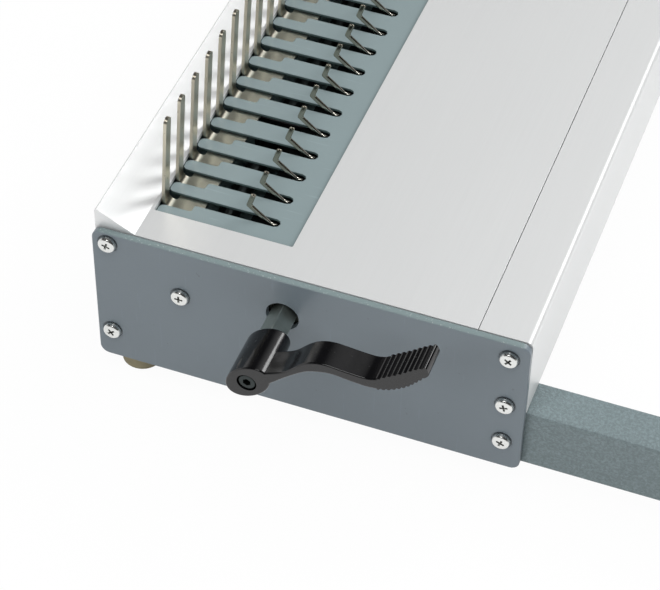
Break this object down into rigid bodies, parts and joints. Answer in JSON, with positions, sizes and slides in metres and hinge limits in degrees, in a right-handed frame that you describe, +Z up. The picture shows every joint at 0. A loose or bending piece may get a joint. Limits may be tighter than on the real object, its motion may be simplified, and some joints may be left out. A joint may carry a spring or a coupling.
{
  "type": "comb closer",
  "caption": "Counter machine that opens a plastic binding comb: a side lever turns a shaft and racks that slide hooks along slots in front of upright fingers.",
  "frame": {"origin": "the middle of the whole machine's box on the desk, under the feet", "axes": "+X to the front, where the user stands and the legs reach out; +Y along the row of fingers to the user's right, away from the lever; +Z up"},
  "size_m": [0.293, 0.3903, 0.1228],
  "materials": {
    "slate_paint": "satin slate grey paint",
    "leg_paint": "fine wrinkled slate grey paint",
    "plate_paint": "smooth green grey paint",
    "pan_paint": "dark green grey paint",
    "anodised": "fine brushed, clear anodised",
    "nickel": "bright nickel plate",
    "zinc": "bright zinc plate",
    "steel": "oiled grey steel",
    "lever_enamel": "gloss black enamel",
    "black_nylon": "moulded black nylon",
    "white_nylon": "moulded natural nylon",
    "black_oxide": "black oxide on steel",
    "tan_rubber": "moulded tan rubber"
  },
  "bodies": {
    "chassis": {"bottom_pan": "pan_paint", "deck_cover": "anodised", "finger_comb": "nickel", "front_rail": "anodised", "left_bearing_block": "white_nylon", "left_end_plate": "slate_paint", "left_front_foot": "tan_rubber", "left_front_leg_cap": "black_nylon", "left_front_leg_screw": "zinc", "left_front_low_screw": "zinc", "left_front_top_screw": "zinc", "left_leg_tube": "leg_paint", "left_rear_foot": "tan_rubber", "left_rear_leg_cap": "black_nylon", "left_rear_leg_screw": "zinc", "left_rear_top_screw": "zinc", "left_tie_screw": "zinc", "right_bearing_block": "white_nylon", "right_end_plate": "slate_paint", "right_front_foot": "tan_rubber", "right_front_leg_cap": "black_nylon", "right_front_leg_screw": "zinc", "right_front_low_screw": "zinc", "right_front_top_screw": "zinc", "right_leg_tube": "leg_paint", "right_rear_foot": "tan_rubber", "right_rear_leg_cap": "black_nylon", "right_rear_leg_screw": "zinc", "right_rear_top_screw": "zinc", "right_tie_screw": "zinc", "slide_block": "black_nylon", "slotted_plate": "plate_paint", "tie_bar": "black_oxide"},
    "drive": {"drive_shaft": "steel", "lever": "lever_enamel", "lever_screw": "black_oxide", "left_pinion": "steel", "right_pinion": "steel"},
    "carriage": {"hook_carriage": "black_oxide", "hook_01": "nickel", "hook_02": "nickel", "hook_03": "nickel", "hook_04": "nickel", "hook_05": "nickel", "hook_06": "nickel", "hook_07": "nickel", "hook_08": "nickel", "hook_09": "nickel", "hook_10": "nickel", "hook_11": "nickel", "hook_12": "nickel", "hook_13": "nickel", "hook_14": "nickel", "hook_15": "nickel", "hook_16": "nickel", "hook_17": "nickel", "hook_18": "nickel", "hook_19": "nickel", "hook_20": "nickel", "hook_21": "nickel"}
  },
  "joints": [
    {"name": "lever_turn", "type": "hinge", "parent": "chassis", "child": "drive", "pos_m": [-0.06415, 0.01787, 0.0609], "axis": [0, -1, 0], "range_deg": [0, 130]},
    {"name": "hook_slide", "type": "slide", "parent": "chassis", "child": "carriage", "axis": [-1, 0, 0], "range_m": [0, 0.0256]}
  ],
  "couplings": [
    {"joint": "hook_slide", "follows": "lever_turn", "m_per_rad": 0.01125}
  ]
}
